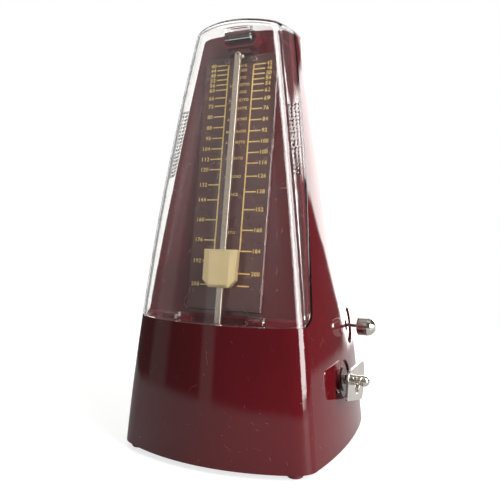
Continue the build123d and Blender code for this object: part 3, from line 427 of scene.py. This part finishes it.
def scale_lines():
    form = bmesh.new()
    top = mark_height(LEFT_TEMPOS[0]) + TICK_WIDTH / 2
    low = mark_height(RIGHT_LINE_LOWEST) - TICK_WIDTH / 2
    add_stroke(form, (-LINE_X, mark_height(LEFT_TEMPOS[-1])), (-LINE_X, top), LINE_WIDTH)
    add_stroke(form, (LINE_X, low), (LINE_X, mark_height(RIGHT_TEMPOS[0])), LINE_WIDTH)
    for side, tempos in ((-1, LEFT_TEMPOS), (1, (*RIGHT_TEMPOS, RIGHT_TICK_ALONE))):
        for tempo in tempos:
            up = mark_height(tempo)
            add_stroke(form, (side * LINE_X, up), (side * (LINE_X + TICK_LENGTH), up), TICK_WIDTH)
    return mesh_from("scale_lines", form)


def scale_numbers():
    form = bmesh.new()
    for side, tempos, align in ((-1, LEFT_TEMPOS, "RIGHT"), (1, RIGHT_TEMPOS, "LEFT")):
        for tempo in tempos:
            x = side * (LINE_X + TICK_LENGTH + NUMBER_GAP)
            add_text(form, str(tempo), x, mark_height(tempo), NUMBER_SIZE, align)
    return mesh_from("scale_numbers", form)


def scale_words():
    form = bmesh.new()
    for tempo, word in TEMPO_WORDS.items():
        add_text(form, word, 0.0, mark_height(tempo), WORD_SIZE, "CENTER", WORD_WIDEST)
    return mesh_from("scale_words", form)


gold_ink = printed_gold("gold_ink")
for drawing in (scale_lines, scale_numbers, scale_words):
    mesh = drawing()
    finish_piece(mesh.name, mesh, gold_ink, "case", smooth=False)


# Grip ribs on the cover's flanks: rows of short slanting bars

RIB_ROWS = 18
RIB_PITCH = 2.0 * MM
RIB_LOWEST = 141.0 / 219.6 * height
RIB_LENGTH, RIB_WIDTH, RIB_PROUD = 3.3 * MM, 1.15 * MM, 0.45 * MM
RIB_SINK = 0.12 * MM
RIB_COLUMNS = 3
RIB_SLANT = math.radians(28)
RIB_MARGIN = 0.4 * MM
RIB_CROWN, RIB_CORNER = 2.2, 0.6
RIB_RINGS, RIB_TURNS = 4, 14
FLANK_STEP, FLANK_STEPS = 0.5 * MM, 140
FLANK_OUTER, FLANK_UPRIGHT = 0.25, 0.9
OUTSIDE = 0.05


def rib_shape(form, place):
    """One pillow-shaped bar: rings of points that rise to a rounded crown."""
    rows = []
    for ring in range(RIB_RINGS):
        rise = ring / RIB_RINGS
        shrink = math.sqrt(1 - rise**RIB_CROWN)
        level = RIB_PROUD * rise - RIB_SINK
        row = []
        for turn in range(RIB_TURNS):
            angle = 2 * math.pi * turn / RIB_TURNS
            cosine, sine = math.cos(angle), math.sin(angle)
            x = 0.5 * RIB_LENGTH * shrink * math.copysign(abs(cosine) ** RIB_CORNER, cosine)
            y = 0.5 * RIB_WIDTH * shrink * math.copysign(abs(sine) ** RIB_CORNER, sine)
            row.append(form.verts.new(place @ Vector((x, y, level))))
        rows.append(row)
    crown = form.verts.new(place @ Vector((0, 0, RIB_PROUD - RIB_SINK)))
    for lower, upper in zip(rows, rows[1:]):
        for i in range(RIB_TURNS):
            j = (i + 1) % RIB_TURNS
            form.faces.new((lower[i], lower[j], upper[j], upper[i]))
    for i in range(RIB_TURNS):
        form.faces.new((rows[-1][i], rows[-1][(i + 1) % RIB_TURNS], crown))
    form.faces.new(rows[0][::-1])


def flank_range(tree, side, level):
    """The front and the rear end of the cover's flank at a level, found by looking at it from its side."""
    span = []
    far = side * (cad_high.x + OUTSIDE)
    for step in range(FLANK_STEPS):
        y = cad_low.y + step * FLANK_STEP
        place, normal, _, _ = tree.ray_cast(Vector((far, y, level)), Vector((-side, 0, 0)))
        if place is None:
            continue
        if side * place.x > FLANK_OUTER * cad_high.x and side * normal.x > FLANK_UPRIGHT:
            span.append(y)
    return min(span), max(span)


def grip_ribs(side):
    cover = nodes["front_cover"]
    tree = BVHTree.FromObject(cover, bpy.context.evaluated_depsgraph_get())
    form = bmesh.new()
    for row in range(RIB_ROWS):
        level = RIB_LOWEST + row * RIB_PITCH
        front, rear = flank_range(tree, side, level)
        pitch = (rear - front - 2 * RIB_MARGIN) / RIB_COLUMNS
        for column in range(RIB_COLUMNS):
            y = front + RIB_MARGIN + pitch * (column + 0.5)
            lift = RIB_PITCH / RIB_COLUMNS * column
            start = Vector((side * (cad_high.x + OUTSIDE), y, level + lift))
            place, normal, _, _ = tree.ray_cast(start, Vector((-side, 0, 0)))
            length = Vector((0, math.cos(RIB_SLANT), math.sin(RIB_SLANT)))
            length = (length - normal * length.dot(normal)).normalized()
            turn = Matrix((length, normal.cross(length), normal)).transposed().to_4x4()
            rib_shape(form, Matrix.Translation(place) @ turn)
    return mesh_from("grip_ribs", form)


for side, name in ((1, "cover_grip_right"), (-1, "cover_grip_left")):
    finish_piece(name, grip_ribs(side), materials["cover_clear"], "front_cover")


# Studio: pale floor that fades out, a soft room and lamps

FLOOR_REACH = 0.42
FLOOR_GLOW_SEEN = 0.74
FLOOR_GLOW_CAST = 0.17
FLOOR_RINGS = 24
FLOOR_TURNS = 96
FLOOR_DROP = 0.2 * MM
FADE_START, FADE_END = 0.68 * FLOOR_REACH, 0.98 * FLOOR_REACH
FLOOR_DARK, FLOOR_LIGHT = (0.30, 0.30, 0.30, 1), (0.33, 0.33, 0.33, 1)


def floor_material():
    material, kit, shader = material_with_shader("studio_floor", Roughness=0.6)
    shader.inputs["Emission Color"].default_value = (1.0, 1.0, 1.0, 1.0)
    seen = kit.add("LightPath").outputs["Is Camera Ray"]
    kit.link(kit.ramp(seen, 0.0, 1.0, FLOOR_GLOW_CAST, FLOOR_GLOW_SEEN), shader.inputs["Emission Strength"])
    place = kit.add("TexCoord").outputs["Object"]
    away = kit.vector("LENGTH", place, output="Value")
    mottle = kit.ramp(kit.noise(8.0), 0.3, 0.7)
    kit.link(kit.mix(mottle, FLOOR_DARK, FLOOR_LIGHT), shader.inputs["Base Color"])
    kit.link(kit.ramp(away, FADE_START, FADE_END, 1.0, 0.0), shader.inputs["Alpha"])
    return material


def studio_floor():
    form = bmesh.new()
    middle = form.verts.new((0, 0, 0))
    rings = []
    for ring in range(1, FLOOR_RINGS + 1):
        radius = FLOOR_REACH * ring / FLOOR_RINGS
        angles = [2 * math.pi * turn / FLOOR_TURNS for turn in range(FLOOR_TURNS)]
        rings.append([form.verts.new((radius * math.cos(a), radius * math.sin(a), 0)) for a in angles])
    for i in range(FLOOR_TURNS):
        j = (i + 1) % FLOOR_TURNS
        form.faces.new((middle, rings[0][i], rings[0][j]))
        for inner, outer in zip(rings, rings[1:]):
            form.faces.new((inner[i], outer[i], outer[j], inner[j]))
    mesh = mesh_from("studio_floor", form)
    mesh.materials.append(floor_material())
    floor = bpy.data.objects.new("studio_floor", mesh)
    floor.location.z = cad_low.z - FLOOR_DROP
    scene.collection.objects.link(floor)


def soft_panel(kit, direction, facing, half_width, low, high, blur, strength):
    """A soft-edged bright panel in the room, given by its bearing and its lowest and highest angle."""
    bearing = math.radians(facing)
    ahead = kit.vector("DOT_PRODUCT", direction, (math.sin(bearing), -math.cos(bearing), 0), "Value")
    beside = kit.vector("DOT_PRODUCT", direction, (math.cos(bearing), math.sin(bearing), 0), "Value")
    rise = kit.vector("DOT_PRODUCT", direction, (0, 0, 1), "Value")
    turn = kit.math("ABSOLUTE", kit.math("ARCTAN2", beside, ahead))
    width = kit.ramp(turn, math.radians(half_width + blur), math.radians(half_width - blur))
    bottom = kit.ramp(rise, math.sin(math.radians(low - blur)), math.sin(math.radians(low + blur)))
    top = kit.ramp(rise, math.sin(math.radians(high + blur)), math.sin(math.radians(high - blur)))
    shape = kit.math("MULTIPLY", width, kit.math("MULTIPLY", bottom, top))
    return kit.math("MULTIPLY", shape, strength)


# Each panel: bearing, half width, lowest and highest angle, edge blur and strength. Bearing 0 is in front.
PANELS = (
    (199, 33, -20, 60, 3, 1.4),
    (79, 13, -4, 60, 2, 15.0),
    (-28, 50, 12, 50, 8, 0.22),
    (-28, 50, 24, 50, 6, 0.12),
    (-26, 4, -8, 24, 1.5, 0.40),
    (-62, 7, -8, 26, 2.5, 0.25),
)
ROOM_GLOOM = 0.12
ROOM_COLOUR = (1.0, 0.985, 0.97, 1.0)
# How much of the white backdrop is seen through the clear cover
CLEAR_VIEW = 0.25
CEILING_START = 50
CEILING_SPREAD = 1.2
CEILING_STRENGTH = 0.3
# The big rear panel, whose lower edge slants between two directions, each a bearing and an angle above level
REAR_EDGE = ((148.0, 10.2), (166.0, -5.8))
REAR_END = 188
REAR_TOP = 21.5
REAR_TOP_BLUR = 1.5
REAR_EDGE_BLUR, REAR_SIDE_BLUR = 0.012, 0.03
REAR_STRENGTH = 5.0


def bearing_direction(bearing, rise):
    turn, lift = math.radians(bearing), math.radians(rise)
    return Vector((math.sin(turn) * math.cos(lift), -math.cos(turn) * math.cos(lift), math.sin(lift)))


def rear_panel(kit, direction):
    """The rear panel: everything above its slanting lower edge, up to its far side and its top."""
    first, second = (bearing_direction(*corner) for corner in REAR_EDGE)
    above = first.cross(second).normalized()
    if above.z < 0:
        above = -above
    far_side = -bearing_direction(REAR_END - 90, 0)
    rise = kit.vector("DOT_PRODUCT", direction, (0, 0, 1), "Value")
    height_over_edge = kit.vector("DOT_PRODUCT", direction, above, "Value")
    edge = kit.ramp(height_over_edge, -REAR_EDGE_BLUR, REAR_EDGE_BLUR)
    past_side = kit.vector("DOT_PRODUCT", direction, far_side, "Value")
    side = kit.ramp(past_side, REAR_SIDE_BLUR, -REAR_SIDE_BLUR)
    top = kit.ramp(rise, math.sin(math.radians(REAR_TOP)), math.sin(math.radians(REAR_TOP - REAR_TOP_BLUR)))
    shape = kit.math("MULTIPLY", edge, kit.math("MULTIPLY", side, top))
    return kit.math("MULTIPLY", shape, REAR_STRENGTH)


def studio_room():
    world = bpy.data.worlds.new("studio_room")
    scene.world = world
    world.use_nodes = True
    world.node_tree.nodes.clear()
    kit = Nodes(world.node_tree)
    direction = kit.add("TexCoord").outputs["Generated"]
    rise = kit.vector("DOT_PRODUCT", direction, (0, 0, 1), "Value")
    start = math.sin(math.radians(CEILING_START))
    light = kit.ramp(rise, start, CEILING_SPREAD * start, ROOM_GLOOM, CEILING_STRENGTH)
    for panel in PANELS:
        light = kit.math("ADD", light, soft_panel(kit, direction, *panel))
    light = kit.math("ADD", light, rear_panel(kit, direction))
    room = kit.add("Background")
    kit.link(light, room.inputs["Strength"])
    room.inputs["Color"].default_value = ROOM_COLOUR
    backdrop = kit.add("Background")
    backdrop.inputs["Strength"].default_value = 1.0
    backdrop.inputs["Color"].default_value = (1.0, 1.0, 1.0, 1.0)
    seen = kit.add("MixShader")
    path = kit.add("LightPath").outputs
    through = kit.math("MULTIPLY", path["Is Transmission Ray"], CLEAR_VIEW)
    kit.link(kit.math("MAXIMUM", path["Is Camera Ray"], through), seen.inputs["Fac"])
    kit.link(room.outputs[0], seen.inputs[1])
    kit.link(backdrop.outputs[0], seen.inputs[2])
    kit.link(seen.outputs[0], kit.add("OutputWorld").inputs["Surface"])


def soft_lamp(name, place, aim, size, power):
    lamp = bpy.data.lights.new(name, "AREA")
    lamp.shape = "RECTANGLE"
    lamp.size, lamp.size_y = size
    lamp.energy = power
    holder = bpy.data.objects.new(name, lamp)
    holder.location = place
    holder.rotation_euler = (Vector(aim) - Vector(place)).to_track_quat("-Z", "Y").to_euler()
    scene.collection.objects.link(holder)


studio_floor()
studio_room()
soft_lamp("lamp_top", (0.1, -0.15, 3.2 * height), (0, 0, 0.5 * height), (0.5, 0.5), 0.3)
scene.view_settings.view_transform = "Standard"


# Camera, at three quarters from the right and a little above the middle

CAMERA_BEARING = math.radians(25.13)
CAMERA_RISE = math.radians(3.28)
CAMERA_ROLL = math.radians(0.17)
CAMERA_DISTANCE = 1.4946 * height
AIM = Vector((-0.0003, -0.0001, 0.4627 * height))
FOCAL_LENGTH = 42.94

lens = bpy.data.cameras.new("camera")
lens.lens = FOCAL_LENGTH
lens.sensor_width = 36.0
lens.clip_start = 0.01
camera = bpy.data.objects.new("camera", lens)
level_reach = math.cos(CAMERA_RISE)
back = Vector((
    math.sin(CAMERA_BEARING) * level_reach, -math.cos(CAMERA_BEARING) * level_reach, math.sin(CAMERA_RISE)
))
camera.location = AIM + CAMERA_DISTANCE * back
look = (-back).to_track_quat("-Z", "Y")
camera.rotation_euler = (look.to_matrix() @ Matrix.Rotation(CAMERA_ROLL, 3, "Z")).to_euler()
scene.collection.objects.link(camera)
scene.camera = camera
